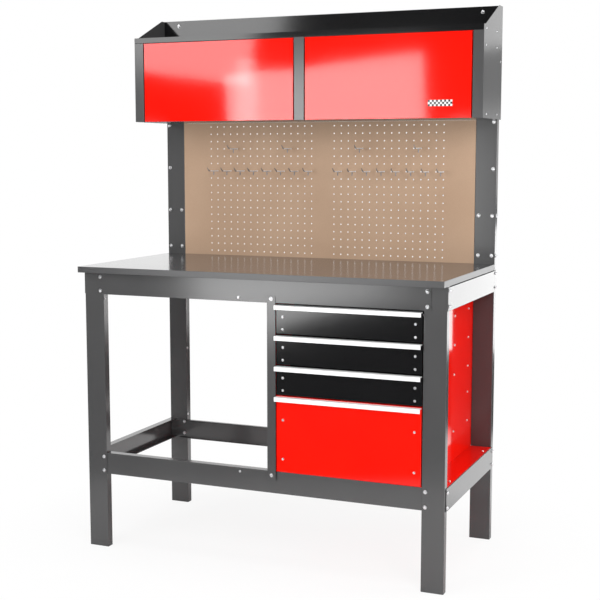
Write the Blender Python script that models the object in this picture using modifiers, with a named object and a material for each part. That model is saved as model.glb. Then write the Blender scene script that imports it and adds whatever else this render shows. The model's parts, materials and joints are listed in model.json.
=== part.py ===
# Workbench with a drawer unit, a perforated back board with tool hooks and an upper cabinet.
# Metres, +Z up. The origin is on the floor under the middle of the bench.
# X runs along the bench, -Y is the side the user stands at.
import bpy
import bmesh
from math import radians
from mathutils import Vector

# Gap left between pieces that touch
GAP = 0.0003
# Extra reach of a cutter past the face it cuts through
PAST = 0.004

# Frame of folded steel channel
FRAME_WIDTH = 1.197
DEPTH = 0.615
SHEET = 0.002
CHANNEL_WIDTH = 0.0685
CHANNEL_DEPTH = 0.025
LEG_SETBACK = 0.039

# Rails between the legs
RAIL_HEIGHT = 0.0686
RAIL_FLANGE = 0.025
REAR_FLANGE = 0.013
LOWER_RAIL_HEIGHT = 0.2437
APRON_LAP = 0.022
REAR_LAP = 0.0286
SIDE_RAIL_START = 0.0020
SIDE_RAIL_END = 0.0125
LOWER_SIDE_RAIL_START = 0.012

# Worktop
WORKTOP_OVERHANG = 0.0015
WORKTOP_HEIGHT = 0.919
WORKTOP_THICKNESS = 0.019
RAIL_DROP = 0.002

# Drawer unit
PANEL = 0.0012
POST_LEFT = 0.0413
POST_WIDTH = 0.0278
POST_TOP = 0.851
POST_BOTTOM = 0.285
POST_LIP = 0.0200
HOUSING_LEG_GAP = GAP
HOUSING_BACK_SETBACK = 0.019
HOUSING_FLANGE = 0.030
FLOOR_INSET = 0.0005
DRAWER_LEG_GAP = 0.0035
DRAWER_SIDE_GAP = 0.0009
DRAWER_TOP = 0.8265
DRAWER_GAP = 0.0036
SHALLOW_FRONT = 0.0892
DEEP_FRONT = 0.2332
FRONT_DEPTH = 0.012
RUNNER_SPACE = 0.0125
RUNNER_HEIGHT = 0.035
RUNNER_THICKNESS = 0.0055
RUNNER_LENGTH = 0.480
RIGHT_RUNNER_START = 0.022
BOX_LENGTH = 0.500
BOX_DROP = 0.014
BOX_LIFT = 0.008
HANDLE_HEIGHT = 0.0130
HANDLE_REACH = 0.0185
HANDLE_SHEET = 0.0022
HANDLE_DROP = 0.0020

# Perforated board and hooks
BOARD_THICKNESS = 0.003
BOARD_BOTTOM = 0.9010
HOLE_PITCH = 0.0255
FIRST_HOLE = 0.041
TOP_HOLE = 1.3679
UPPER_HOOK_ROW = 3
LOWER_HOOK_ROW = 6
WIRE = 0.0040
HOOK_REACH = 0.062
HOOK_TIP_RISE = 0.0115
HOOK_TIP_RUN = 0.018
HOOK_TAIL = 0.014
HOOK_TAIL_REACH = 0.030

# Upper cabinet
CABINET_OVERHANG = 0.0055
CABINET_BOTTOM = 1.3816
CABINET_DEPTH = 0.234
DOOR_SPACE = 0.2621
HEADER_HEIGHT = 0.0179
TRAY_RISE = 0.0754
UPRIGHT_DROP = 0.0020
SLOPE_START = 0.022
SLOPE_END = 0.189
STILE_WIDTH = 0.033
STILE_LIP = 0.014
CENTRE_POST_WIDTH = 0.035
DOOR_GAP = 0.0036
DOOR_DEPTH = 0.014
DOOR_LIFT = 0.0006
DOOR_DROP = 0.0012
CABINET_LIP = 0.0125
HINGE_PIN = 0.0010

# Places that follow from the sizes
FRONT = -DEPTH / 2
LEG_FACE = FRONT + LEG_SETBACK
LEG_BACK = LEG_FACE + CHANNEL_DEPTH
REAR_FACE = DEPTH / 2 - CHANNEL_DEPTH
LEG_OUTER = FRAME_WIDTH / 2
LEG_INNER = LEG_OUTER - CHANNEL_WIDTH
WORKTOP_UNDERSIDE = WORKTOP_HEIGHT - WORKTOP_THICKNESS
LEG_TOP = WORKTOP_UNDERSIDE - GAP
TOP_RAIL = (WORKTOP_UNDERSIDE - RAIL_DROP - RAIL_HEIGHT, WORKTOP_UNDERSIDE - RAIL_DROP)
LOWER_RAIL = (LOWER_RAIL_HEIGHT, LOWER_RAIL_HEIGHT + RAIL_HEIGHT)
SIDE_RAIL_OUTER = LEG_OUTER + GAP + SHEET
APRON_FACE = LEG_FACE - GAP - SHEET
LOWER_FRONT_FACE = LEG_FACE + SHEET + GAP
REAR_RAIL_BACK = REAR_FACE - GAP
POST_RIGHT = POST_LEFT + POST_WIDTH
POST_FACE = APRON_FACE - GAP - PANEL
HOUSING_FLOOR = (LOWER_RAIL[1] + GAP, LOWER_RAIL[1] + GAP + PANEL)
HOUSING_HEIGHT = (HOUSING_FLOOR[1] + GAP, TOP_RAIL[0] - GAP)
HOUSING_BACK = DEPTH / 2 - HOUSING_BACK_SETBACK
DRAWER_LEFT = POST_RIGHT + DRAWER_SIDE_GAP
DRAWER_RIGHT = LEG_INNER - DRAWER_LEG_GAP
HOUSING_RIGHT = LEG_INNER - HOUSING_LEG_GAP
FLOOR_RIGHT = LEG_OUTER - FLOOR_INSET
HOUSING_LEFT = DRAWER_LEFT - RUNNER_THICKNESS - PANEL
BOX_LEFT = HOUSING_LEFT + PANEL + RUNNER_SPACE
BOX_RIGHT = HOUSING_RIGHT - PANEL - RUNNER_SPACE
BOX_FRONT = LEG_FACE + FRONT_DEPTH + GAP
BOARD_TOP = CABINET_BOTTOM - GAP
HEADER_BOTTOM = CABINET_BOTTOM + DOOR_SPACE
HEADER_TOP = HEADER_BOTTOM + HEADER_HEIGHT
CABINET_TOP = HEADER_TOP + TRAY_RISE
UPRIGHT_TOP = CABINET_TOP - UPRIGHT_DROP
CABINET_SIDE = LEG_OUTER + CABINET_OVERHANG
CABINET_FRONT = DEPTH / 2 - CABINET_DEPTH
CABINET_BACK_FACE = REAR_FACE - GAP - PANEL
DOOR_BOTTOM = CABINET_BOTTOM + DOOR_LIFT
DOOR_TOP = HEADER_BOTTOM - DOOR_DROP
STILE_INNER = CABINET_SIDE - STILE_WIDTH

# Colours: linear red, green, blue
COLOURS = {
    "frame_paint": ((0.075, 0.075, 0.078), 0.30, 0.0),
    "worktop_grey": ((0.045, 0.045, 0.047), 0.12, 0.0),
    "red_paint": ((0.90, 0.012, 0.004), 0.15, 0.0),
    "black_paint": ((0.012, 0.012, 0.013), 0.22, 0.0),
    "white_handle": ((0.88, 0.88, 0.88), 0.30, 0.0),
    "tan_board": ((0.42, 0.27, 0.17), 0.55, 0.0),
    "bright_wire": ((0.62, 0.63, 0.66), 0.20, 1.0),
}


def clear_scene():
    for old in list(bpy.data.objects):
        bpy.data.objects.remove(old)


def new_collection(name):
    made = bpy.data.collections.new(name)
    bpy.context.scene.collection.children.link(made)
    return made


clear_scene()
PARTS = new_collection("workbench")
CUTTERS = new_collection("cutters")


def material(name):
    """The Principled material of this name, made once from its colour, roughness and metallic."""
    if name in bpy.data.materials:
        return bpy.data.materials[name]
    colour, roughness, metallic = COLOURS[name]
    made = bpy.data.materials.new(name)
    made.use_nodes = True
    shader = made.node_tree.nodes["Principled BSDF"]
    shader.inputs["Base Color"].default_value = (*colour, 1.0)
    shader.inputs["Roughness"].default_value = roughness
    shader.inputs["Metallic"].default_value = metallic
    made.diffuse_color = (*colour, 1.0)
    return made


def add_object(name, bm, paint, collection=None, origin=(0, 0, 0)):
    """An object from a bmesh given in world places, with its own origin."""
    bmesh.ops.translate(bm, verts=bm.verts, vec=-Vector(origin))
    mesh = bpy.data.meshes.new(name)
    bm.to_mesh(mesh)
    bm.free()
    made = bpy.data.objects.new(name, mesh)
    made.location = origin
    if paint:
        mesh.materials.append(material(paint))
    (collection or PARTS).objects.link(made)
    return made


def box_bmesh(low, high):
    bm = bmesh.new()
    size = Vector(high) - Vector(low)
    bmesh.ops.create_cube(bm, size=1.0)
    bmesh.ops.scale(bm, verts=bm.verts, vec=size)
    bmesh.ops.translate(bm, verts=bm.verts, vec=(Vector(low) + Vector(high)) / 2)
    return bm


def box(name, low, high, paint):
    return add_object(name, box_bmesh(low, high), paint)


def place(plane, a, b, c):
    """A point from two coordinates in a plane and one along its normal."""
    return {"XY": (a, b, c), "YZ": (c, a, b), "XZ": (a, c, b)}[plane]


def folded_sheet(name, plane, outline, run, outside, thickness, paint, collection=None):
    """Sheet folded along an outline in a plane and run along its normal.

    The outline is the sheet's outer face, and `outside` is the way its longest fold faces.
    """
    bm = bmesh.new()
    points = [bm.verts.new(place(plane, a, b, run[0])) for a, b in outline]
    edges = [bm.edges.new(pair) for pair in zip(points, points[1:])]
    swept = bmesh.ops.extrude_edge_only(bm, edges=edges)["geom"]
    moved = [item for item in swept if isinstance(item, bmesh.types.BMVert)]
    bmesh.ops.translate(bm, verts=moved, vec=place(plane, 0, 0, run[1] - run[0]))
    bmesh.ops.recalc_face_normals(bm, faces=bm.faces)
    largest = max(bm.faces, key=lambda face: face.calc_area())
    if largest.normal.dot(Vector(outside)) < 0:
        bmesh.ops.reverse_faces(bm, faces=bm.faces)
    made = add_object(name, bm, paint, collection)
    thicken(made, thickness)
    return made


def thicken(piece, thickness):
    solidify = piece.modifiers.new("sheet", "SOLIDIFY")
    solidify.thickness = thickness
    solidify.offset = -1
    solidify.use_even_offset = True


def boolean(piece, other, operation):
    modifier = piece.modifiers.new(operation.lower(), "BOOLEAN")
    modifier.operation = operation
    modifier.solver = "EXACT"
    modifier.object = other
    other.hide_render = True
    other.display_type = "WIRE"


def cut_box(piece, low, high):
    cutter = add_object(f"cut_{piece.name}", box_bmesh(low, high), None, CUTTERS)
    boolean(piece, cutter, "DIFFERENCE")


def join_box(piece, low, high):
    joined = add_object(f"join_{piece.name}", box_bmesh(low, high), None, CUTTERS)
    boolean(piece, joined, "UNION")


def channel(name, side, web_y, bottom, top):
    """Leg or upright: a channel with its web to the front and its lips going back."""
    back = web_y + CHANNEL_DEPTH
    inner, outer = side * LEG_INNER, side * LEG_OUTER
    outline = [(inner, back), (inner, web_y), (outer, web_y), (outer, back)]
    return folded_sheet(name, "XY", outline, (bottom, top), (0, -1, 0), SHEET, "frame_paint")


def side_span(side, near, far):
    """The two X limits of a span on one side of the bench, in rising order."""
    return sorted((side * near, side * far))


def build_legs():
    for side, word in ((-1, "left"), (1, "right")):
        front = channel(f"leg_front_{word}", side, LEG_FACE, 0, LEG_TOP)
        low_x, high_x = side_span(side, LEG_INNER - PAST, LEG_INNER + SHEET + PAST)
        cut_box(front, (low_x, LEG_FACE + SHEET, LOWER_RAIL[0] - GAP),
                (high_x, LOWER_FRONT_FACE + SHEET + GAP, LOWER_RAIL[1] + GAP))
        channel(f"leg_rear_{word}", side, REAR_FACE, 0, LEG_TOP)
        channel(f"upright_{word}", side, REAR_FACE, LEG_TOP + GAP, UPRIGHT_TOP)


def cross_rail(name, web_y, flange_y, half_length, heights):
    """Rail along X: a web at web_y with flanges that reach to flange_y."""
    outline = [(flange_y, heights[0]), (web_y, heights[0]), (web_y, heights[1]), (flange_y, heights[1])]
    outside = (0, web_y - flange_y, 0)
    return folded_sheet(name, "YZ", outline, (-half_length, half_length), outside, SHEET, "frame_paint")


def trim_flanges(rail, web_y, half_length, heights):
    """Cut the flanges back at both ends, so that only the web laps the legs."""
    for side in (-1, 1):
        low_x, high_x = side_span(side, LEG_INNER - GAP, half_length + PAST)
        cut_box(rail, (low_x, web_y + SHEET, heights[0] - PAST),
                (high_x, web_y + RAIL_FLANGE + PAST, heights[1] + PAST))


def build_cross_rails():
    half = LEG_INNER + APRON_LAP
    apron = cross_rail("top_rail_front", APRON_FACE, APRON_FACE + RAIL_FLANGE, half, TOP_RAIL)
    trim_flanges(apron, APRON_FACE, half, TOP_RAIL)
    lower = cross_rail("lower_rail_front", LOWER_FRONT_FACE, LOWER_FRONT_FACE + RAIL_FLANGE, half, LOWER_RAIL)
    trim_flanges(lower, LOWER_FRONT_FACE, half, LOWER_RAIL)
    rear_half = LEG_INNER + REAR_LAP
    cross_rail("top_rail_rear", REAR_RAIL_BACK, REAR_RAIL_BACK - REAR_FLANGE, rear_half, TOP_RAIL)
    cross_rail("lower_rail_rear", REAR_RAIL_BACK, REAR_RAIL_BACK - REAR_FLANGE, rear_half, LOWER_RAIL)


def side_rail(name, side, start, heights):
    """Rail along Y outside the legs' lips, with flanges that reach in between the legs."""
    end = DEPTH / 2 - SIDE_RAIL_END
    outer, inner = side * SIDE_RAIL_OUTER, side * (SIDE_RAIL_OUTER - RAIL_FLANGE)
    outline = [(inner, heights[0]), (outer, heights[0]), (outer, heights[1]), (inner, heights[1])]
    rail = folded_sheet(name, "XZ", outline, (start, end), (side, 0, 0), SHEET, "frame_paint")
    low_x, high_x = side_span(side, SIDE_RAIL_OUTER - RAIL_FLANGE - PAST, SIDE_RAIL_OUTER - SHEET)
    for low_y, high_y in ((start - PAST, LEG_BACK + GAP), (REAR_FACE - GAP, end + PAST)):
        cut_box(rail, (low_x, low_y, heights[0] - PAST), (high_x, high_y, heights[1] + PAST))


def build_side_rails():
    for side, word in ((-1, "left"), (1, "right")):
        side_rail(f"top_rail_{word}", side, LEG_FACE + SIDE_RAIL_START, TOP_RAIL)
        side_rail(f"lower_rail_{word}", side, LEG_FACE + LOWER_SIDE_RAIL_START, LOWER_RAIL)


def build_worktop():
    half = LEG_OUTER + WORKTOP_OVERHANG
    box("worktop", (-half, FRONT, WORKTOP_UNDERSIDE), (half, REAR_FACE - GAP, WORKTOP_HEIGHT), "worktop_grey")


def build_post():
    """Front post of the drawer unit: a strip over the apron, with a lip on its left."""
    post = box("drawer_unit_post", (POST_LEFT, POST_FACE, POST_BOTTOM),
               (POST_RIGHT, POST_FACE + PANEL, POST_TOP), "frame_paint")
    join_box(post, (POST_LEFT, POST_FACE + PANEL / 2, LOWER_RAIL[1] + GAP),
             (POST_LEFT + PANEL, POST_FACE + POST_LIP, TOP_RAIL[0] - GAP))


def drawer_sizes():
    """Name, bottom, top and colour of each drawer front, from the top down."""
    top = DRAWER_TOP
    for number in range(1, 4):
        yield f"drawer_{number}", top - SHALLOW_FRONT, top, "black_paint"
        top -= SHALLOW_FRONT + DRAWER_GAP
    yield "drawer_4", top - DEEP_FRONT, top, "red_paint"


def runner_height(bottom, top):
    """Bottom and top of a drawer's runners, at the middle of its box."""
    middle = (bottom + BOX_LIFT + top - BOX_DROP) / 2
    return middle - RUNNER_HEIGHT / 2, middle + RUNNER_HEIGHT / 2


def build_housing():
    """Walls of the drawer unit, with the fixed half of each runner fastened inside."""
    flange_y = POST_FACE + PANEL + GAP + PANEL
    lip_y = LEG_BACK + GAP + PANEL
    outline = [(POST_LEFT + PANEL + GAP, flange_y), (HOUSING_LEFT, flange_y), (HOUSING_LEFT, HOUSING_BACK),
               (HOUSING_RIGHT, HOUSING_BACK), (HOUSING_RIGHT, lip_y), (HOUSING_RIGHT + HOUSING_FLANGE, lip_y)]
    housing = folded_sheet("drawer_housing", "XY", outline, HOUSING_HEIGHT, (-1, 0, 0), PANEL, "red_paint")
    start = BOX_FRONT + GAP
    for _, bottom, top, _ in drawer_sizes():
        low, high = runner_height(bottom, top)
        inside = HOUSING_LEFT + PANEL
        join_box(housing, (inside - PANEL / 2, start, low),
                 (inside + RUNNER_THICKNESS, start + RUNNER_LENGTH, high))
        inside = HOUSING_RIGHT - PANEL
        join_box(housing, (inside - RUNNER_THICKNESS, start + RIGHT_RUNNER_START, low),
                 (inside + PANEL / 2, start + RUNNER_LENGTH, high))


def build_floor():
    """Red sheet under the drawers that runs out to the right side rail."""
    floor = box("drawer_unit_floor", (POST_LEFT + PANEL + GAP, LOWER_FRONT_FACE, HOUSING_FLOOR[0]),
                (FLOOR_RIGHT, REAR_FACE - GAP, HOUSING_FLOOR[1]), "red_paint")
    cut_box(floor, (LEG_INNER - GAP, LEG_FACE - PAST, HOUSING_FLOOR[0] - PAST),
            (FLOOR_RIGHT + PAST, LEG_BACK + GAP, HOUSING_FLOOR[1] + PAST))


def open_tray(name, low, high, open_side, paint, origin=(0, 0, 0)):
    """A box of sheet with one side left open: 'top' or 'back'."""
    bm = box_bmesh(low, high)
    way = {"top": Vector((0, 0, 1)), "back": Vector((0, 1, 0))}[open_side]
    bm.faces.ensure_lookup_table()
    lid = [face for face in bm.faces if face.normal.dot(way) > 0.9]
    bmesh.ops.delete(bm, geom=lid, context="FACES_ONLY")
    made = add_object(name, bm, paint, origin=origin)
    thicken(made, PANEL)
    return made


def build_drawer(name, bottom, top, paint):
    """One drawer: sheet box with its half of the runners, pan front and white grip strip."""
    open_tray(f"{name}_front", (DRAWER_LEFT, LEG_FACE, bottom), (DRAWER_RIGHT, LEG_FACE + FRONT_DEPTH, top),
              "back", paint)
    tray = open_tray(f"{name}_box", (BOX_LEFT, BOX_FRONT, bottom + BOX_LIFT),
                     (BOX_RIGHT, BOX_FRONT + BOX_LENGTH, top - BOX_DROP), "top", paint)
    low, high = runner_height(bottom, top)
    reach = RUNNER_SPACE - RUNNER_THICKNESS - GAP
    for side_x, way in ((BOX_LEFT, -1), (BOX_RIGHT, 1)):
        inner, outer = sorted((side_x - way * PANEL / 2, side_x + way * reach))
        join_box(tray, (inner, BOX_FRONT + FRONT_DEPTH, low), (outer, BOX_FRONT + RUNNER_LENGTH, high))
    build_handle(f"{name}_handle", top - HANDLE_DROP)


def build_handle(name, top):
    """Grip strip across a drawer: it reaches forward and its front edge turns down."""
    back = LEG_FACE - GAP
    front = LEG_FACE - HANDLE_REACH
    outline = [(back, top), (front, top), (front, top - HANDLE_HEIGHT)]
    folded_sheet(name, "YZ", outline, (DRAWER_LEFT, DRAWER_RIGHT), (0, 0, 1), HANDLE_SHEET, "white_handle")


def build_board():
    half = LEG_INNER - GAP
    box("perforated_board", (-half, REAR_FACE, BOARD_BOTTOM), (half, REAR_FACE + BOARD_THICKNESS, BOARD_TOP),
        "tan_board")


def wire_bmesh(points):
    """A round wire through the points, made a closed mesh."""
    curve = bpy.data.curves.new("wire", "CURVE")
    curve.dimensions = "3D"
    curve.bevel_depth = WIRE / 2
    curve.bevel_resolution = 2
    curve.use_fill_caps = True
    spline = curve.splines.new("POLY")
    spline.points.add(len(points) - 1)
    for point, spot in zip(spline.points, points):
        point.co = (*spot, 1)
    guide = bpy.data.objects.new("wire", curve)
    CUTTERS.objects.link(guide)
    mesh = bpy.data.meshes.new_from_object(guide.evaluated_get(bpy.context.evaluated_depsgraph_get()))
    bm = bmesh.new()
    bm.from_mesh(mesh)
    bmesh.ops.remove_doubles(bm, verts=bm.verts, dist=0.00001)
    bpy.data.objects.remove(guide)
    return bm


def hook_columns():
    """X of each hook, on the board's hole columns: two groups of holes, left and right."""
    def column(side, number):
        return side * (FIRST_HOLE + number * HOLE_PITCH)
    upper = [column(-1, 11), column(-1, 3), column(1, 4), column(1, 12)]
    lower = [column(-1, number) for number in range(14, -1, -2)]
    lower += [column(1, number) for number in range(1, 16, 2)]
    return ((UPPER_HOOK_ROW, upper), (LOWER_HOOK_ROW, lower))


def build_hooks():
    """Wire hooks: a prong out of the board, its tip bent up, and a short tail below it."""
    prong = [(0, -GAP, 0), (0, -HOOK_REACH, 0), (0, -HOOK_REACH - HOOK_TIP_RUN / 2, HOOK_TIP_RISE / 3),
             (0, -HOOK_REACH - HOOK_TIP_RUN, HOOK_TIP_RISE)]
    tail = [(0, -HOOK_TAIL_REACH, 0), (0, -HOOK_TAIL_REACH, -HOOK_TAIL)]
    for row, columns in hook_columns():
        for number, x in enumerate(columns, 1):
            origin = (x, REAR_FACE, TOP_HOLE - row * HOLE_PITCH)
            name = f"hook_{'upper' if row == UPPER_HOOK_ROW else 'lower'}_{number}"
            hook = add_object(name, wire_bmesh(prong), "bright_wire")
            hook.location = origin
            stub = add_object(f"join_{name}", wire_bmesh(tail), None, CUTTERS)
            stub.location = origin
            boolean(hook, stub, "UNION")


def build_cabinet_sides():
    """Side of the upper cabinet with its sloped top, and the front stile folded from it."""
    low, high = DEPTH / 2 - CABINET_DEPTH, DEPTH / 2
    profile = [(low, CABINET_BOTTOM), (low, HEADER_TOP), (low + SLOPE_START, HEADER_TOP + DOOR_DROP),
               (low + SLOPE_END, CABINET_TOP - GAP), (high, CABINET_TOP), (high, CABINET_BOTTOM)]
    for side, word in ((-1, "left"), (1, "right")):
        curve = bpy.data.curves.new("side", "CURVE")
        curve.dimensions = "2D"
        curve.fill_mode = "BOTH"
        curve.extrude = PANEL / 2
        spline = curve.splines.new("POLY")
        spline.points.add(len(profile) - 1)
        spline.use_cyclic_u = True
        for point, (y, z) in zip(spline.points, profile):
            point.co = (y, z, 0, 1)
        guide = bpy.data.objects.new("side", curve)
        CUTTERS.objects.link(guide)
        mesh = bpy.data.meshes.new_from_object(guide.evaluated_get(bpy.context.evaluated_depsgraph_get()))
        bm = bmesh.new()
        bm.from_mesh(mesh)
        bmesh.ops.remove_doubles(bm, verts=bm.verts, dist=0.00001)
        bpy.data.objects.remove(guide)
        panel = add_object(f"cabinet_side_{word}", bm, "frame_paint")
        panel.rotation_euler = (radians(90), 0, radians(90))
        panel.location = (side * (CABINET_SIDE - PANEL / 2), 0, 0)
        edge, fold = side * (CABINET_SIDE - PANEL / 2), side * STILE_INNER
        outline = [(edge, CABINET_FRONT), (fold, CABINET_FRONT), (fold, CABINET_FRONT + STILE_LIP)]
        heights = (CABINET_BOTTOM, HEADER_BOTTOM - GAP)
        stile = folded_sheet(f"join_{panel.name}", "XY", outline, heights, (0, -1, 0), PANEL, None, CUTTERS)
        boolean(panel, stile, "UNION")


def build_cabinet_shell():
    inner = CABINET_SIDE - PANEL - GAP
    box("cabinet_back", (-inner, CABINET_BACK_FACE, CABINET_BOTTOM),
        (inner, CABINET_BACK_FACE + PANEL, CABINET_TOP), "black_paint")
    back = CABINET_BACK_FACE - GAP
    front = CABINET_FRONT + DOOR_DEPTH + GAP
    folded_sheet("cabinet_bottom", "YZ",
                 [(back, CABINET_BOTTOM), (front, CABINET_BOTTOM), (front, CABINET_BOTTOM + CABINET_LIP)],
                 (-inner, inner), (0, 0, -1), PANEL, "frame_paint")
    outline = [(CABINET_FRONT, HEADER_TOP), (CABINET_FRONT, HEADER_BOTTOM), (back, HEADER_BOTTOM)]
    folded_sheet("cabinet_top_tray", "YZ", outline, (-inner, inner), (0, 0, -1), PANEL, "black_paint")


def build_centre_post():
    """Post between the doors, with the partition behind it."""
    half = CENTRE_POST_WIDTH / 2
    bottom, top = CABINET_BOTTOM, HEADER_BOTTOM - GAP
    post = box("cabinet_centre_post", (-half, CABINET_FRONT, bottom),
               (half, CABINET_FRONT + PANEL, top), "frame_paint")
    back = CABINET_BACK_FACE - GAP
    join_box(post, (-PANEL / 2, CABINET_FRONT + PANEL / 2, bottom + CABINET_LIP + GAP),
             (PANEL / 2, back, top))
    join_box(post, (-PANEL / 2, CABINET_FRONT + DOOR_DEPTH + PANEL + 2 * GAP, bottom + PANEL + GAP),
             (PANEL / 2, back, top))
    for way in (-1, 1):
        near, far = sorted((way * (half - PANEL), way * half))
        join_box(post, (near, CABINET_FRONT + PANEL / 2, bottom), (far, CABINET_FRONT + STILE_LIP, top))


def build_doors():
    """Two flap doors that hang from their top edges, each on a pin at both ends."""
    half = CENTRE_POST_WIDTH / 2
    for side, word in ((-1, "left"), (1, "right")):
        low_x, high_x = side_span(side, half + DOOR_GAP, STILE_INNER - DOOR_GAP)
        reach = DOOR_GAP - GAP
        axis_y, axis_z = CABINET_FRONT + PANEL / 2, DOOR_TOP - PANEL / 2
        door = open_tray(f"door_{word}", (low_x, CABINET_FRONT, DOOR_BOTTOM),
                         (high_x, CABINET_FRONT + DOOR_DEPTH, DOOR_TOP), "back", "red_paint",
                         origin=((low_x + high_x) / 2, axis_y, axis_z))
        for start, end in ((low_x - reach, low_x + PANEL / 2), (high_x - PANEL / 2, high_x + reach)):
            join_box(door, (start, axis_y - HINGE_PIN / 2, axis_z - HINGE_PIN / 2),
                     (end, axis_y + HINGE_PIN / 2, axis_z + HINGE_PIN / 2))


build_legs()
build_cross_rails()
build_side_rails()
build_worktop()
build_post()
build_housing()
build_floor()
for drawer in drawer_sizes():
    build_drawer(*drawer)
build_board()
build_hooks()
build_cabinet_sides()
build_cabinet_shell()
build_centre_post()
build_doors()
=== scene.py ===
import json
from math import cos, pi, radians, sin, tan

import bmesh
import bpy
from mathutils import Matrix, Vector


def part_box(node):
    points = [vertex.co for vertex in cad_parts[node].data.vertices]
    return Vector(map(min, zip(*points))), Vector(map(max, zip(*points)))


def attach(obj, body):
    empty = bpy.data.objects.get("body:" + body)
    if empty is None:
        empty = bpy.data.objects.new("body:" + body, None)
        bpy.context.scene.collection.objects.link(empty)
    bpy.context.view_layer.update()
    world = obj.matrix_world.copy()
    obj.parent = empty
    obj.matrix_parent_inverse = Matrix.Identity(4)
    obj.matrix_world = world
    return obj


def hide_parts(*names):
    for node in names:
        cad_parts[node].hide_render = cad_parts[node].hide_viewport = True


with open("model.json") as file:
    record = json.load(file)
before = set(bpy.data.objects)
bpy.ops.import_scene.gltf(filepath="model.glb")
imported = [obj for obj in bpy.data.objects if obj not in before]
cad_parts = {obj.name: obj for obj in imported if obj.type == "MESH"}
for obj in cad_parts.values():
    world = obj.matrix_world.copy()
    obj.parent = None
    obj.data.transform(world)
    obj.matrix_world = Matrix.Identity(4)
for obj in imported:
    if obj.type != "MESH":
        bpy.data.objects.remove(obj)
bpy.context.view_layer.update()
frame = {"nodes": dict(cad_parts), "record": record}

# Workbench: folded steel frame, glossy worktop, red drawer unit, perforated board with hooks
# and upper cabinet.
# Metres, in the frame's own axes: -Y is the user's side and the floor is at zero.

# Camera, fitted to the photograph
CAMERA_PLACE = (1.5159, -3.5281, 1.2642)
CAMERA_TURN = 0.3974
CAMERA_TILT = -0.1188
CAMERA_LENS = 72.03

# Folded sheet
CLEAR = 0.0003
FOLD_OUTER = 0.0018
FOLD_INNER = 0.0008
FRAME_RIM = 0.0004
PANEL_RIM = 0.00025
PANEL_FOLD = 0.0010
WIDE_FACE = 0.005
RIM_ROOM = 2.5
WORKTOP_RIM = 0.0006
FLAT_ANGLE = 1
SHARP_ANGLE = 30
RIM_ANGLE = 60
WELD = 0.00001

# Bolts and screws
BOLT = dict(washer=0.0060, head=0.0052, rise=0.0036, socket=0.0022)
SCREW = dict(washer=0.0041, head=0.0036, rise=0.0022, socket=0.0014)
SMALL_SCREW = dict(washer=0.0032, head=0.0029, rise=0.0018, socket=0.0011)
BOLT_SIDES = 14
WASHER_THICKNESS = 0.0010
FORWARD = (0, -1, 0)

# Their places: drops below a top edge, heights above the floor, insets from an edge
BOLT_INSET = 0.011
APRON_DROPS = (0.0132, 0.0572)
LOWER_RAIL_DROPS = (0.0121, 0.0573)
LOWER_RAIL_SHIFT = 0.0005
REAR_LOWER_DROPS = (0.009, 0.0517)
REAR_SHEET = 0.002
SIDE_TOP_DROPS = (0.009, 0.055)
SIDE_LOWER_DROPS = (0.012, 0.057)
SIDE_SHIFT = 0.006
POST_RISE = 0.0124
POST_DROP = 0.0115
APRON_SCREW = (-0.0535, 0.0121)
LOWER_SCREW = (-0.054, 0.0113)
UPRIGHT_OUTER = 0.0105
UPRIGHT_INNER = 0.0135
UPRIGHT_HEIGHTS = (1.3745, 1.225, 1.0753, 0.9463)
UPRIGHT_INNER_HEIGHTS = (1.0753, 0.9463)
UPRIGHT_SIDE_HEIGHTS = (1.0746, 0.9443)
FRONT_LIP_SCREW = (0.0055, 0.8162)
REAR_LIP_SCREWS = ((0.0045, 0.3317), (0.0045, 0.5755))
DRAWER_SCREW_LEFT = 0.0215
DRAWER_SCREW_RIGHT = 0.0205
DRAWER_DROPS = (0.0375, 0.0755)
DEEP_DRAWER_DROPS = (0.0741, 0.1941)
WALL_REAR_SCREWS = (0.2270, (0.7783, 0.6848, 0.5911, 0.5051, 0.4105))
WALL_MIDDLE_SCREWS = (0.0625, (0.7739, 0.6825, 0.5891, 0.4085))
RUNNER_GAP = 0.0070
RUNNER_REACH = 0.0064
FLOOR_SCREW_INSET = 0.011
FLOOR_SCREWS = (0.2185, -0.1775)
CABINET_SCREWS = ((0.105, 1.651), (0.238, 1.654), (0.105, 1.601), (0.238, 1.603), (0.290, 1.564),
                  (0.118, 1.394), (0.252, 1.397))
CABINET_SCREW_SUNK = 0.0022
CABINET_BACK_BOLT = (0.546, 0.017)

# Perforated board
HOLE_PITCH = 0.0255
HOLE_RADIUS = 0.0026
HOLE_SIDES = 12
HOLE_COLUMNS = 16
HOLE_ROWS = 18
FIRST_HOLE = 0.041
TOP_HOLE = 1.3679
HOLE_WELD = 0.0001
RIM_WELD = 0.00005

# Hooks
WIRE = 0.0040
HOOK_TIP_RUN = 0.018
HOOK_TAIL = 0.014
HOOK_TAIL_REACH = 0.030
HOOK_END = 0.0012
HOOK_BEND = 0.010
HOOK_ANGLE = 38
HOOK_STEPS = 5
TIP_THICKNESS = 0.55
TAIL_WIRE = 0.98
TAIL_THICKNESS = 0.8
# Painted shade: wire faces whose middle lies further than this share of the wire's thickness below its axis
# take the darker finish
SHADE_BELOW = 0.35

# Chequered strip: its squares, and its place from the right door's lower right corner
SQUARE = 0.0065
SQUARE_COLUMNS = 12
SQUARE_ROWS = 3
STRIP_INSET = 0.140
STRIP_RISE = 0.036
STRIP_PROUD = 0.0002
STRIP_ROUGH = 0.2
STRIP_WAVE = 0.0005
STRIP_PAINTS = (("black", (0.01, 0.01, 0.01), (0.012, 0.012, 0.012)),
                ("white", (0.80, 0.80, 0.80), (0.76, 0.76, 0.76)))

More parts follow.
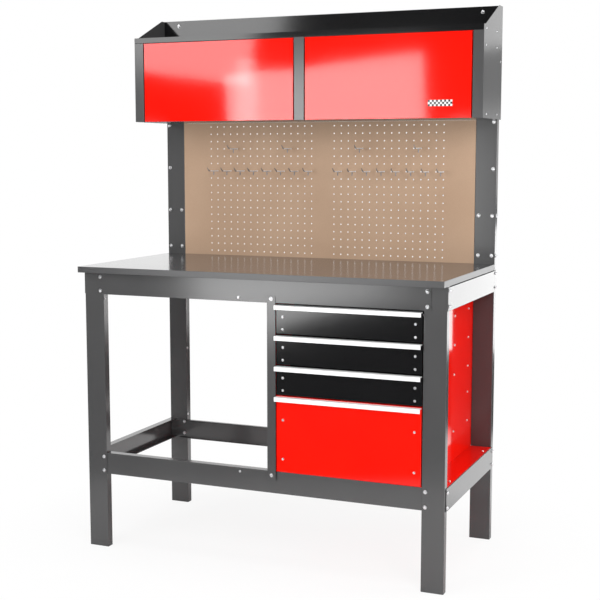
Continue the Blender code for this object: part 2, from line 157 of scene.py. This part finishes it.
# Floor: what the camera sees near the bench, and the white sheet that polished faces see
FLOOR_SPAN = 30
FLOOR_DROP = 0.0005
FLOOR_WHITE = (0.9, 0.9, 0.9)
FLOOR_DARK = (0.02, 0.02, 0.02)
NEAR_WHITE = 0.86
WHITENS = (0.5, 1.1)
SHEET_FRONT = -1.20
SHEET_FADE = 0.25
SHEET_SLANT = 0.35
SHEET_BACK = (1.5, 1.9)
BRIGHT_FROM = (0.4, 0.8)
BRIGHT_EXTRA = 0.5

# Surroundings in reflections, by direction, and as plain light
BACKDROP_EDGE = (-0.1, 0.15)
LEFT_FROM = (-0.05, -0.2)
LEFT_EXTRA = 0.34
FLAG_FROM = (0.05, 0.2)
FLAG_ABOVE = (0.025, 0.045)
FLAG = 0.7
ROOM_IN_FRONT = 0.03
ROOM_LIGHT = 0.5


class Value:
    """A shader socket with arithmetic: each sum or product adds a Math node."""

    def __init__(self, finish, socket):
        self.finish = finish
        self.socket = socket

    def _math(self, operation, first, second):
        return self.finish.node("ShaderNodeMath", {"operation": operation}, {0: first, 1: second})

    def __add__(self, other):
        return self._math("ADD", self, other)

    __radd__ = __add__

    def __sub__(self, other):
        return self._math("SUBTRACT", self, other)

    def __rsub__(self, other):
        return self._math("SUBTRACT", other, self)

    def __mul__(self, other):
        return self._math("MULTIPLY", self, other)


class Nodes:
    """The nodes of one material or of the studio's surroundings, added by one method."""

    def __init__(self, tree):
        self.tree = tree

    def node(self, kind, settings=None, values=None, output=0):
        made = self.tree.nodes.new(kind)
        for setting, value in (settings or {}).items():
            setattr(made, setting, value)
        for socket, value in (values or {}).items():
            self.feed(made.inputs[socket], value)
        return Value(self, made.outputs[output])

    def feed(self, socket, value):
        if isinstance(value, Value):
            self.tree.links.new(value.socket, socket)
        else:
            socket.default_value = value

    def along(self, vector, axis):
        return self.node("ShaderNodeSeparateXYZ", None, {0: vector}, axis)

    def ramp(self, value, low, high):
        values = {"Value": value, "From Min": low, "From Max": high}
        return self.node("ShaderNodeMapRange", {"clamp": True}, values, "Result")

    def blend(self, factor, first, second):
        values = {0: factor, 6: (*first, 1) if isinstance(first, tuple) else first,
                  7: (*second, 1) if isinstance(second, tuple) else second}
        return self.node("ShaderNodeMix", {"data_type": "RGBA"}, values, 2)


class Finish(Nodes):
    """One material: a Principled shader with its fixed values."""

    def __init__(self, name, colour, **fixed):
        self.material = bpy.data.materials.new(name)
        self.material.use_nodes = True
        super().__init__(self.material.node_tree)
        self.shader = self.tree.nodes["Principled BSDF"]
        self.shader.inputs["Base Color"].default_value = (*colour, 1)
        for socket, value in fixed.items():
            self.shader.inputs[socket.replace("_", " ")].default_value = value

    def set(self, socket, value):
        self.feed(self.shader.inputs[socket], value)

    def place(self):
        return self.node("ShaderNodeTexCoord", output="Object")

    def stretched(self, scale):
        return self.node("ShaderNodeMapping", None, {"Vector": self.place(), "Scale": scale})

    def noise(self, scale, detail=2.0, rough=0.5, where=None):
        values = {"Vector": where or self.place(), "Scale": scale, "Detail": detail, "Roughness": rough}
        return self.node("ShaderNodeTexNoise", None, values, "Fac")

    def bump(self, height, depth, under=None):
        values = {"Height": height, "Distance": depth}
        if under is not None:
            values["Normal"] = under
        relief = self.node("ShaderNodeBump", None, values, "Normal")
        self.set("Normal", relief)
        return relief


def powder_coat(name, colour, lighter, rough):
    """Dark satin powder coat: fine orange peel, faint clouding and slightly uneven gloss."""
    paint = Finish(name, colour, Specular_IOR_Level=0.55)
    cloud = paint.noise(3.0, 3.0)
    grain = paint.noise(700.0, 2.0)
    paint.set("Base Color", paint.blend(paint.ramp(cloud, 0.3, 0.7) * 0.7 + grain * 0.3, colour, lighter))
    paint.set("Roughness", paint.ramp(cloud, 0.2, 0.8) * 0.05 + rough)
    waves = paint.bump(paint.noise(3.0, 1.0), 0.0006)
    paint.bump(paint.noise(420.0, 2.0), 0.00002, waves)
    return paint.material


def gloss_paint(name, colour, deeper, rough, wave):
    """Glossy paint on thin sheet: the sheet's slow waves bend what it reflects."""
    paint = Finish(name, colour, Specular_IOR_Level=0.55)
    cloud = paint.noise(5.0, 2.0)
    paint.set("Base Color", paint.blend(paint.ramp(cloud, 0.25, 0.75), colour, deeper))
    paint.set("Roughness", paint.noise(60.0, 2.0) * 0.03 + rough)
    waves = paint.bump(paint.noise(3.2, 1.0, 0.4), wave)
    paint.bump(paint.noise(500.0, 2.0), 0.000004, waves)
    return paint.material


def worktop_laminate(name, rough, gloss):
    """Dark laminate with a faint lengthwise grain; its cut edges are duller than its surface."""
    top = Finish(name, (0.035, 0.035, 0.037), Specular_IOR_Level=gloss, IOR=1.70)
    streaks = top.noise(1.0, 3.0, where=top.stretched((6.0, 160.0, 160.0)))
    top.set("Base Color", top.blend(streaks, (0.030, 0.030, 0.032), (0.046, 0.046, 0.048)))
    top.set("Roughness", streaks * 0.05 + rough)
    top.bump(top.noise(260.0, 2.0), 0.00001)
    return top.material


def hardboard():
    """Tan pressed board: short fibres and a slow change of tone."""
    board = Finish("hardboard", (0.50, 0.35, 0.24), Specular_IOR_Level=0.25)
    fibre = board.noise(1.0, 4.0, 0.7, board.stretched((900.0, 900.0, 300.0)))
    cloud = board.noise(4.0, 3.0)
    tone = board.blend(board.ramp(cloud, 0.3, 0.7), (0.53, 0.355, 0.238), (0.59, 0.405, 0.278))
    board.set("Base Color", board.blend(board.ramp(fibre, 0.35, 0.9) * 0.5, tone, (0.40, 0.26, 0.17)))
    board.set("Roughness", fibre * 0.15 + 0.5)
    board.bump(fibre, 0.00006)
    return board.material


def zinc(name, colour, rough, metallic=1.0):
    """Bright zinc plating with a fine brushed grain."""
    metal = Finish(name, colour, Metallic=metallic)
    grain = metal.noise(900.0, 2.0)
    metal.set("Roughness", grain * 0.12 + rough)
    metal.set("Base Color", metal.blend(grain, colour, tuple(part * 0.85 for part in colour)))
    metal.bump(grain, 0.00001)
    return metal.material


def white_grip():
    """White satin strip with faint lengthwise drawing lines."""
    grip = Finish("white_grip", (0.86, 0.86, 0.86), Specular_IOR_Level=0.5)
    lines = grip.noise(1.0, 2.0, where=grip.stretched((4.0, 900.0, 900.0)))
    grip.set("Base Color", grip.blend(lines, (0.84, 0.84, 0.845), (0.90, 0.90, 0.90)))
    grip.set("Roughness", lines * 0.1 + 0.25)
    grip.bump(lines, 0.00001)
    return grip.material


FRAME_PAINT = powder_coat("frame_powder_coat", (0.062, 0.062, 0.063), (0.072, 0.072, 0.073), 0.14)
RED_PAINT = gloss_paint("red_gloss", (0.88, 0.008, 0.002), (0.84, 0.006, 0.002), 0.05, 0.0008)
BLACK_PAINT = gloss_paint("black_gloss", (0.0065, 0.0065, 0.007), (0.008, 0.008, 0.0085), 0.09, 0.0004)
WORKTOP = worktop_laminate("worktop_surface", 0.13, 0.64)
WORKTOP_EDGE = worktop_laminate("worktop_front_edge", 0.33, 0.46)
WORKTOP_END = worktop_laminate("worktop_end", 0.33, 0.95)
BOARD = hardboard()
GRIP = white_grip()
BOLT_ZINC = zinc("bolt_zinc", (0.90, 0.90, 0.92), 0.24)
# The hooks' wire is painted with light: its top and sides are near-white, a painted highlight, and its
# underside, bent tip and tail are darker zinc, painted shade
ZINC_WIRE_HIGHLIGHT = zinc("zinc_wire_painted_highlight", (0.96, 0.97, 0.99), 0.25, 0.0)
ZINC_WIRE_SHADE = zinc("zinc_wire_painted_shade", (0.30, 0.31, 0.33), 0.30, 0.60)
RUNNER_ZINC = zinc("runner_zinc", (0.56, 0.57, 0.58), 0.32)

SLOT_FINISH = {
    "frame_paint": FRAME_PAINT,
    "worktop_grey": WORKTOP,
    "red_paint": RED_PAINT,
    "black_paint": BLACK_PAINT,
    "white_handle": GRIP,
    "tan_board": BOARD,
    "bright_wire": ZINC_WIRE_HIGHLIGHT,
}
NODE_SLOT = {part["node"]: part["material_slot"] for part in frame["record"]["subparts"]}
NODE_BODY = {node: body for body, nodes in frame["record"]["behaviour"]["bodies"].items() for node in nodes}


def piece(name, bm, body, slot, *finishes, smooth=35):
    """A finished piece at the origin from a bmesh in place, on its body."""
    mesh = bpy.data.meshes.new(name)
    bm.to_mesh(mesh)
    bm.free()
    for finish in finishes:
        mesh.materials.append(finish)
    made = bpy.data.objects.new(name, mesh)
    bpy.context.scene.collection.objects.link(made)
    mesh.shade_smooth()
    mesh.set_sharp_from_angle(angle=radians(smooth))
    weighted = made.modifiers.new("even_shading", "WEIGHTED_NORMAL")
    weighted.keep_sharp = True
    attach(made, body)
    return made


def node_copy(node):
    """A CAD node's mesh with its loose triangles merged into whole flat faces."""
    bm = bmesh.new()
    bm.from_mesh(frame["nodes"][node].data)
    bmesh.ops.remove_doubles(bm, verts=bm.verts, dist=WELD)
    bmesh.ops.dissolve_limit(bm, angle_limit=radians(FLAT_ANGLE), verts=bm.verts, edges=bm.edges)
    return bm


def face_width(face):
    return face.calc_area() / max(edge.calc_length() for edge in face.edges)


def sharp_edges(bm, least=SHARP_ANGLE):
    return [edge for edge in bm.edges
            if len(edge.link_faces) == 2 and edge.calc_face_angle() > radians(least)]


def is_fold(edge):
    return min(face_width(face) for face in edge.link_faces) > WIDE_FACE


def round_edges(bm, edges, width, segments):
    if edges:
        bmesh.ops.bevel(bm, geom=edges, offset=width, segments=segments, profile=0.5, affect="EDGES",
                        offset_type="OFFSET", clamp_overlap=True, material=-1)


def soften_sheet(bm, outer, inner, rim):
    """Round the folds of a sheet piece, wider outside than inside, and ease its cut rims."""
    folds = [edge for edge in sharp_edges(bm) if is_fold(edge)]
    round_edges(bm, [edge for edge in folds if edge.is_convex], outer, 4)
    folds = [edge for edge in sharp_edges(bm) if is_fold(edge) and not edge.is_convex]
    round_edges(bm, folds, inner, 2)
    rims = [edge for edge in sharp_edges(bm, RIM_ANGLE) if edge.is_convex
            and min(face_width(face) for face in edge.link_faces) > RIM_ROOM * rim]
    round_edges(bm, rims, rim, 1)


def dress(node, outer, inner, rim):
    """Replace a CAD node by a copy with rounded folds, eased rims and its finish."""
    bm = node_copy(node)
    soften_sheet(bm, outer, inner, rim)
    slot = NODE_SLOT[node]
    made = piece(f"skin_{node}", bm, NODE_BODY[node], slot, SLOT_FINISH[slot])
    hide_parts(node)
    return made


FRAME_WORDS = ("leg_", "upright_", "top_rail_", "lower_rail_")
PANEL_WORDS = ("cabinet_", "door_", "drawer_")
FRAME_NODES = [name for name in NODE_SLOT if name.startswith(FRAME_WORDS)]
PANEL_NODES = [name for name in NODE_SLOT if name.startswith(PANEL_WORDS)]


def build_frame():
    for node in FRAME_NODES:
        dress(node, FOLD_OUTER, FOLD_INNER, FRAME_RIM)


def build_panels():
    for node in PANEL_NODES:
        made = dress(node, PANEL_FOLD, PANEL_FOLD / 4, PANEL_RIM)
        if node.endswith("_box"):
            plate_runners(made, node)


def plate_runners(made, node):
    """Give the runner bars on both sides of a drawer box their zinc finish."""
    made.data.materials.append(RUNNER_ZINC)
    low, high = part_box(node)
    for face in made.data.polygons:
        middle = face.center
        if middle.x < low.x + RUNNER_REACH or middle.x > high.x - RUNNER_REACH:
            face.material_index = 1


def worktop_side(normal):
    """Which finish a worktop face has: 0 for the surface, 1 for the long edges, 2 for the ends."""
    if abs(normal.y) > 0.5:
        return 1
    return 2 if abs(normal.x) > 0.5 else 0


def build_worktop():
    bm = node_copy("worktop")
    round_edges(bm, sharp_edges(bm), WORKTOP_RIM, 3)
    bm.normal_update()
    for face in bm.faces:
        face.material_index = worktop_side(face.normal)
    made = piece("skin_worktop", bm, "bench", "worktop_grey", WORKTOP, WORKTOP_EDGE, WORKTOP_END)
    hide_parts("worktop")


def turned_head(washer, head, rise, socket):
    """A washer and a round head with a socket, standing on +Z, from one turned profile."""
    bm = bmesh.new()
    steps = [(0, WASHER_THICKNESS + rise * 0.70), (socket, WASHER_THICKNESS + rise * 0.70),
             (socket, WASHER_THICKNESS + rise * 0.97), (head * 0.62, WASHER_THICKNESS + rise),
             (head * 0.90, WASHER_THICKNESS + rise * 0.66), (head, WASHER_THICKNESS + rise * 0.2),
             (head, WASHER_THICKNESS), (washer, WASHER_THICKNESS), (washer, 0), (0, 0)]
    points = [bm.verts.new((radius, 0, height)) for radius, height in steps]
    edges = [bm.edges.new(pair) for pair in zip(points, points[1:])]
    bmesh.ops.spin(bm, geom=points + edges, cent=(0, 0, 0), axis=(0, 0, 1), angle=2 * pi,
                   steps=BOLT_SIDES, use_merge=True, use_duplicate=False)
    bmesh.ops.remove_doubles(bm, verts=bm.verts, dist=WELD)
    bmesh.ops.recalc_face_normals(bm, faces=bm.faces)
    mesh = bpy.data.meshes.new("turned_head")
    bm.to_mesh(mesh)
    bm.free()
    return mesh


def heads(name, body, slot, size, places, facing):
    """Bolt heads at these places, all facing one way, as one piece."""
    template = turned_head(**size)
    turn = Vector((0, 0, 1)).rotation_difference(Vector(facing)).to_matrix().to_4x4()
    bm = bmesh.new()
    for place in places:
        before = len(bm.verts)
        bm.from_mesh(template)
        bm.verts.ensure_lookup_table()
        bmesh.ops.transform(bm, matrix=Matrix.Translation(place) @ turn, verts=bm.verts[before:])
    bpy.data.meshes.remove(template)
    return piece(name, bm, body, slot, BOLT_ZINC, smooth=50)


def both_sides(places):
    return [(side * x, y, z) for side in (-1, 1) for x, y, z in places]


def build_bolts():
    """Bolts and screws of the steel frame."""
    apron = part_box("top_rail_front")
    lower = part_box("lower_rail_front")
    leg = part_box("leg_front_right")
    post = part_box("drawer_unit_post")
    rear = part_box("leg_rear_right")
    side_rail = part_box("top_rail_right")
    low_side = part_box("lower_rail_right")
    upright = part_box("upright_right")
    in_leg = leg[0].x + BOLT_INSET
    front_y = apron[0].y - CLEAR / 2
    heads("apron_bolts", "bench", "bright_wire", BOLT,
          both_sides([(in_leg, front_y, apron[1].z - drop) for drop in APRON_DROPS]), FORWARD)
    heads("lower_rail_bolts", "bench", "bright_wire", BOLT,
          both_sides([(in_leg - LOWER_RAIL_SHIFT, leg[0].y, lower[1].z - drop) for drop in LOWER_RAIL_DROPS]),
          FORWARD)
    middle = (post[0].x + post[1].x) / 2
    heads("post_bolts", "bench", "bright_wire", BOLT,
          [(middle, post[0].y, apron[0].z + POST_RISE), (middle, post[0].y, lower[1].z - POST_DROP)], FORWARD)
    heads("rail_screws", "bench", "bright_wire", SCREW,
          [(APRON_SCREW[0], front_y, apron[0].z + APRON_SCREW[1]),
           (LOWER_SCREW[0], lower[0].y, lower[1].z - LOWER_SCREW[1])], FORWARD)
    low_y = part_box("lower_rail_rear")[1].y - REAR_SHEET
    top_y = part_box("top_rail_rear")[1].y - REAR_SHEET
    heads("rear_rail_bolts", "bench", "bright_wire", BOLT,
          both_sides([(in_leg, low_y, lower[1].z - drop) for drop in REAR_LOWER_DROPS]
                     + [(in_leg, top_y, apron[1].z - drop) for drop in APRON_DROPS]), FORWARD)
    lip_front = (leg[0].y + leg[1].y) / 2
    lip_rear = (rear[0].y + rear[1].y) / 2 - SIDE_SHIFT
    lip_upright = (upright[0].y + upright[1].y) / 2
    for way, word in ((-1, "left"), (1, "right")):
        face = way * side_rail[1].x
        places = [(face, y, side_rail[1].z - drop) for y in (lip_front, lip_rear) for drop in SIDE_TOP_DROPS]
        places += [(face, y, low_side[1].z - drop) for y in (lip_front + SIDE_SHIFT, lip_rear)
                   for drop in SIDE_LOWER_DROPS]
        heads(f"side_rail_bolts_{word}", "bench", "bright_wire", BOLT, places, (way, 0, 0))
        heads(f"upright_side_bolts_{word}", "bench", "bright_wire", BOLT,
              [(way * upright[1].x, lip_upright, z) for z in UPRIGHT_SIDE_HEIGHTS], (way, 0, 0))
    outer = upright[1].x - UPRIGHT_OUTER
    inner = upright[0].x + UPRIGHT_INNER
    heads("upright_bolts", "bench", "bright_wire", BOLT,
          both_sides([(outer, upright[0].y, z) for z in UPRIGHT_HEIGHTS]
                     + [(inner, upright[0].y, z) for z in UPRIGHT_INNER_HEIGHTS]), FORWARD)
    lip = leg[0].x
    inset, height = FRONT_LIP_SCREW
    heads("leg_lip_screws_left", "bench", "bright_wire", SCREW,
          [(-lip, leg[0].y + inset, height)] + [(-lip, rear[0].y + y, z) for y, z in REAR_LIP_SCREWS],
          (1, 0, 0))
    heads("leg_lip_screws_right", "bench", "bright_wire", SCREW,
          [(lip, leg[0].y + inset, height)], (-1, 0, 0))


def build_drawer_screws():
    for number in range(1, 5):
        low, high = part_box(f"drawer_{number}_front")
        drops = DRAWER_DROPS if number < 4 else DEEP_DRAWER_DROPS
        columns = (low.x + DRAWER_SCREW_LEFT, high.x - DRAWER_SCREW_RIGHT)
        places = [(x, low.y, high.z - drop) for x in columns for drop in drops]
        heads(f"drawer_{number}_screws", f"drawer_{number}", "bright_wire", SCREW, places, FORWARD)


def build_housing_screws():
    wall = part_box("leg_rear_right")[0].x - CLEAR
    rear, middle = ([(wall, y, z) for z in heights] for y, heights in (WALL_REAR_SCREWS, WALL_MIDDLE_SCREWS))
    heads("runner_screws_right", "bench", "bright_wire", SMALL_SCREW, rear, (1, 0, 0))
    heads("housing_screws_right", "bench", "bright_wire", SCREW, middle, (1, 0, 0))
    heads("runner_screws_left", "bench", "bright_wire", SMALL_SCREW,
          [(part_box("drawer_1_box")[0].x - RUNNER_GAP - CLEAR, y, z) for _, y, z in rear + middle],
          (-1, 0, 0))
    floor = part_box("drawer_unit_floor")
    heads("floor_screws", "bench", "bright_wire", SCREW,
          [(floor[1].x - FLOOR_SCREW_INSET, y, floor[1].z) for y in FLOOR_SCREWS], (0, 0, 1))


def build_cabinet_screws():
    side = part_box("cabinet_side_right")
    for way, word in ((-1, "left"), (1, "right")):
        face = way * side[1].x
        heads(f"cabinet_side_screws_{word}", "bench", "bright_wire", SCREW,
              [(face - way * CABINET_SCREW_SUNK, y, z) for y, z in CABINET_SCREWS], (way, 0, 0))
    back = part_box("cabinet_back")
    heads("cabinet_back_bolts", "bench", "bright_wire", BOLT,
          both_sides([(CABINET_BACK_BOLT[0], back[0].y, back[1].z - CABINET_BACK_BOLT[1])]), FORWARD)


def hole_cell():
    """One square of the board, one hole pitch wide, with a round hole, facing -Y at the origin.

    The circle is turned by half a step, so that three of its spokes reach each corner and side alike.
    """
    bm = bmesh.new()
    turn = Matrix.Rotation(radians(90), 4, "X") @ Matrix.Rotation(pi / HOLE_SIDES, 4, "Z")
    bmesh.ops.create_circle(bm, segments=HOLE_SIDES, radius=HOLE_RADIUS, matrix=turn)
    outer = bmesh.ops.extrude_edge_only(bm, edges=list(bm.edges))["geom"]
    half = HOLE_PITCH / 2
    for vert in (item for item in outer if isinstance(item, bmesh.types.BMVert)):
        reach = half / max(abs(vert.co.x), abs(vert.co.z))
        vert.co = (vert.co.x * reach, 0, vert.co.z * reach)
    mesh = bpy.data.meshes.new("hole_cell")
    bm.to_mesh(mesh)
    bm.free()
    return mesh


def stretch_rim(bm, axis, value, target):
    """Run the sheet's free edge at one place of an axis out to another place."""
    edges = [edge for edge in bm.edges if edge.is_boundary
             and all(abs(vert.co[axis] - value) < HOLE_WELD for vert in edge.verts)]
    swept = bmesh.ops.extrude_edge_only(bm, edges=edges)["geom"]
    for vert in (item for item in swept if isinstance(item, bmesh.types.BMVert)):
        vert.co[axis] = target


def build_board():
    """The perforated board: two groups of holes, with plain margins and a plain middle."""
    low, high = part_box("perforated_board")
    cell = hole_cell()
    half = HOLE_PITCH / 2
    bm = bmesh.new()
    for side in (-1, 1):
        for column in range(HOLE_COLUMNS):
            for row in range(HOLE_ROWS):
                before = len(bm.verts)
                bm.from_mesh(cell)
                bm.verts.ensure_lookup_table()
                place = (side * (FIRST_HOLE + column * HOLE_PITCH), low.y, TOP_HOLE - row * HOLE_PITCH)
                bmesh.ops.translate(bm, verts=bm.verts[before:], vec=place)
    bmesh.ops.remove_doubles(bm, verts=bm.verts, dist=HOLE_WELD)
    near = FIRST_HOLE - half
    far = FIRST_HOLE + (HOLE_COLUMNS - 1) * HOLE_PITCH + half
    stretch_rim(bm, 0, -near, near)
    bmesh.ops.remove_doubles(bm, verts=bm.verts, dist=HOLE_WELD)
    stretch_rim(bm, 0, -far, low.x)
    stretch_rim(bm, 0, far, high.x)
    stretch_rim(bm, 2, TOP_HOLE + half, high.z)
    stretch_rim(bm, 2, TOP_HOLE - (HOLE_ROWS - 1) * HOLE_PITCH - half, low.z)
    bmesh.ops.remove_doubles(bm, verts=bm.verts, dist=RIM_WELD)
    bmesh.ops.recalc_face_normals(bm, faces=bm.faces)
    bm.faces.ensure_lookup_table()
    if bm.faces[0].normal.y > 0:
        bmesh.ops.reverse_faces(bm, faces=bm.faces)
    bmesh.ops.solidify(bm, geom=bm.faces, thickness=high.y - low.y)
    bmesh.ops.recalc_face_normals(bm, faces=bm.faces)
    bpy.data.meshes.remove(cell)
    made = piece("skin_perforated_board", bm, "bench", "tan_board", BOARD)
    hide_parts("perforated_board")


def tube(points, radius, tip):
    """A round wire through the points as a mesh, with closed ends; its end is `tip` times as thick."""
    curve = bpy.data.curves.new("wire", "CURVE")
    curve.dimensions = "3D"
    curve.bevel_depth = radius
    curve.bevel_resolution = 3
    curve.use_fill_caps = True
    spline = curve.splines.new("POLY")
    spline.points.add(len(points) - 1)
    for point, spot in zip(spline.points, points):
        point.co = (*spot, 1)
    spline.points[-1].radius = tip
    guide = bpy.data.objects.new("wire", curve)
    bpy.context.scene.collection.objects.link(guide)
    mesh = bpy.data.meshes.new_from_object(guide.evaluated_get(bpy.context.evaluated_depsgraph_get()))
    bpy.data.objects.remove(guide)
    return mesh


def arc(centre, radius, start, end, steps):
    """Points along an arc in the YZ plane, angles in degrees from +Y towards +Z."""
    angles = [radians(start + (end - start) * step / steps) for step in range(steps + 1)]
    return [(0, centre[0] + radius * cos(angle), centre[1] + radius * sin(angle)) for angle in angles]


def build_hooks():
    """Each hook: a wire out of its hole, its tip bent up, and the short tail below it."""
    for node in sorted(name for name in NODE_SLOT if name.startswith("hook_")):
        low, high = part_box(node)
        x = (low.x + high.x) / 2
        tip = high.y - low.y - HOOK_END
        slope = radians(HOOK_ANGLE)
        rise = HOOK_BEND - HOOK_BEND * cos(slope)
        start = tip - HOOK_TIP_RUN
        run = [(0, 0, 0)] + arc((-start, HOOK_BEND), HOOK_BEND, -90, -90 - HOOK_ANGLE, HOOK_STEPS)
        run.append((0, -tip, rise + (HOOK_TIP_RUN - HOOK_BEND * sin(slope)) * tan(slope)))
        tail = [(0, -HOOK_TAIL_REACH, 0), (0, -HOOK_TAIL_REACH, -HOOK_TAIL)]
        bm = bmesh.new()
        for points, radius, end in ((run, WIRE / 2, TIP_THICKNESS),
                                    (tail, WIRE / 2 * TAIL_WIRE, TAIL_THICKNESS)):
            mesh = tube(points, radius, end)
            bm.from_mesh(mesh)
            bpy.data.meshes.remove(mesh)
        bmesh.ops.remove_doubles(bm, verts=bm.verts, dist=WELD)
        # Painted shade and highlight: the wire's underside, the tail and the bent tip take the darker finish,
        # the rest the near-white one
        for face in bm.faces:
            middle = face.calc_center_median()
            face.material_index = int(middle.z < -WIRE * SHADE_BELOW or middle.y < -start)
        bmesh.ops.translate(bm, verts=bm.verts, vec=(x, high.y, low.z + HOOK_TAIL))
        made = piece(f"wire_{node}", bm, "bench", "bright_wire", ZINC_WIRE_HIGHLIGHT, ZINC_WIRE_SHADE, smooth=50)
        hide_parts(node)


def chequer():
    """A strip of small black and white squares in the corner of the right door."""
    low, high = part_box("door_right")
    start = Vector((high.x - STRIP_INSET, low.y - STRIP_PROUD, low.z + STRIP_RISE))
    for colour, (word, paint, deeper) in enumerate(STRIP_PAINTS):
        bm = bmesh.new()
        for column in range(SQUARE_COLUMNS):
            for row in range(SQUARE_ROWS):
                if (column + row) % 2 == colour:
                    place = start + Vector(((column + 0.5) * SQUARE, 0, (row + 0.5) * SQUARE))
                    turn = Matrix.Translation(place) @ Matrix.Rotation(radians(90), 4, "X")
                    bmesh.ops.create_grid(bm, x_segments=1, y_segments=1, size=SQUARE / 2, matrix=turn)
        bmesh.ops.remove_doubles(bm, verts=bm.verts, dist=WELD)
        finish = gloss_paint(f"chequer_{word}", paint, deeper, STRIP_ROUGH, STRIP_WAVE)
        piece(f"door_chequer_{word}", bm, "door_right", "red_paint", finish)


def build_floor():
    """Plain white floor: it keeps the bench's shadow and whitens with distance.

    Polished faces see the white sheet end a little in front of the bench and some way behind it,
    and see it brightest just behind the bench.
    """
    bm = bmesh.new()
    bmesh.ops.create_grid(bm, x_segments=1, y_segments=1, size=FLOOR_SPAN)
    mesh = bpy.data.meshes.new("floor")
    bm.to_mesh(mesh)
    bm.free()
    made = bpy.data.objects.new("floor", mesh)
    made.location.z = -FLOOR_DROP
    bpy.context.scene.collection.objects.link(made)
    white = Finish("floor_white", FLOOR_WHITE, Roughness=0.8, Specular_IOR_Level=0.0)
    place = white.place()
    depth = white.along(place, "Y")
    slanted = depth + white.along(place, "X") * SHEET_SLANT
    in_front = white.ramp(slanted, SHEET_FRONT, SHEET_FRONT - SHEET_FADE)
    glossy = white.node("ShaderNodeLightPath", output="Is Glossy Ray")
    far_back = white.ramp(depth, *SHEET_BACK)
    white.set("Base Color", white.blend((in_front + far_back) * glossy, FLOOR_WHITE, FLOOR_DARK))
    away = white.node("ShaderNodeVectorMath", {"operation": "LENGTH"}, {0: place}, "Value")
    camera = white.node("ShaderNodeLightPath", output="Is Camera Ray")
    strength = 1 + glossy * BRIGHT_EXTRA
    glow = white.node("ShaderNodeEmission", None, {"Color": (1, 1, 1, 1), "Strength": strength})
    behind = white.ramp(depth, *BRIGHT_FROM) * white.ramp(depth, SHEET_BACK[1], SHEET_BACK[0])
    share = camera * (white.ramp(away, *WHITENS) * (1 - NEAR_WHITE) + NEAR_WHITE) + glossy * behind
    matte = Value(white, white.shader.outputs[0])
    shown = white.node("ShaderNodeMixShader", None, {0: share, 1: matte, 2: glow})
    white.tree.links.new(shown.socket, white.tree.nodes["Material Output"].inputs["Surface"])
    mesh.materials.append(white.material)


def build_studio():
    """White to the camera. Polished faces see a backdrop behind the bench and a dark room in front.

    In them the backdrop is brighter on the left and dimmer on the right.
    """
    world = bpy.data.worlds.new("studio")
    bpy.context.scene.world = world
    world.use_nodes = True
    sky = Nodes(world.node_tree)
    background = world.node_tree.nodes["Background"]
    background.inputs["Color"].default_value = (1, 1, 1, 1)
    way = sky.node("ShaderNodeTexCoord", output="Generated")
    sideways = sky.along(way, "X")
    behind = sky.ramp(sky.along(way, "Y"), *BACKDROP_EDGE)
    flag = sky.ramp(sideways, *FLAG_FROM) * sky.ramp(sky.along(way, "Z"), *FLAG_ABOVE) * FLAG
    left = sky.ramp(sideways, *LEFT_FROM) * LEFT_EXTRA + 1
    seen = behind * left * (1 - flag) * (1 - ROOM_IN_FRONT) + ROOM_IN_FRONT
    camera = sky.node("ShaderNodeLightPath", output="Is Camera Ray")
    glossy = sky.node("ShaderNodeLightPath", output="Is Glossy Ray")
    clear = sky.node("ShaderNodeLightPath", output="Is Transmission Ray")
    plain = 1 - camera - glossy - clear
    sky.feed(background.inputs["Strength"], camera + clear + glossy * seen + plain * ROOM_LIGHT)


def softbox(name, place, aim, size, glow, turn=0):
    """A rectangular studio light that faces a point, with its own brightness against white."""
    data = bpy.data.lights.new(name, "AREA")
    data.shape = "RECTANGLE"
    data.size, data.size_y = size
    data.energy = glow * pi * size[0] * size[1]
    made = bpy.data.objects.new(name, data)
    facing = (Vector(aim) - Vector(place)).to_track_quat("-Z", "Y").to_matrix().to_4x4()
    made.matrix_world = Matrix.Translation(place) @ facing @ Matrix.Rotation(radians(turn), 4, "Z")
    bpy.context.scene.collection.objects.link(made)


def build_lights():
    softbox("front_box", (-1.191, -3.465, 1.08), (-0.253, -3.118, 1.08), (1.845, 1.533), 6.9, 7.5)
    softbox("front_strip", (-1.855, -3.49, 1.62), (-1.855, 0, 1.62), (0.15, 0.54), 3.9)
    softbox("right_strip", (-0.38, -3.49, 1.03), (-0.38, 0, 1.03), (0.22, 0.95), 2.6)
    softbox("left_strip", (-2.63, -3.49, 1.03), (-2.63, 0, 1.03), (0.24, 0.95), 1.3)
    softbox("high_box", (-2.38, -3.5, 2.235), (-2.38, 0, 2.235), (1.20, 0.86), 5.5, -9)
    softbox("right_low_box", (1.55, 3.0, 0.52), (0.6, 0.2, 0.7), (1.1, 0.70), 3.3)
    softbox("right_high_box", (1.40, 3.0, 2.30), (0.6, 0.2, 1.5), (1.0, 0.90), 1.0)
    softbox("side_box", (3.1, 0.4, 1.0), (0.6, 0.1, 0.7), (1.2, 1.4), 5.7)
    softbox("front_fill", (2.4, -2.7, 2.5), (0, 0, 0.9), (1.2, 1.4), 8.6)
    softbox("top_box", (0.0, -0.6, 3.7), (0, 0, 0.9), (2.6, 1.8), 3.4)


def build_camera():
    data = bpy.data.cameras.new("camera")
    data.lens = CAMERA_LENS
    data.sensor_width = 36
    made = bpy.data.objects.new("camera", data)
    made.location = CAMERA_PLACE
    made.rotation_euler = (pi / 2 + CAMERA_TILT, 0, CAMERA_TURN)
    bpy.context.scene.collection.objects.link(made)
    bpy.context.scene.camera = made


build_camera()
build_frame()
build_panels()
build_worktop()
build_bolts()
build_drawer_screws()
build_housing_screws()
build_cabinet_screws()
build_board()
build_hooks()
chequer()
build_floor()
build_studio()
build_lights()
bpy.context.scene.view_settings.view_transform = "Standard"
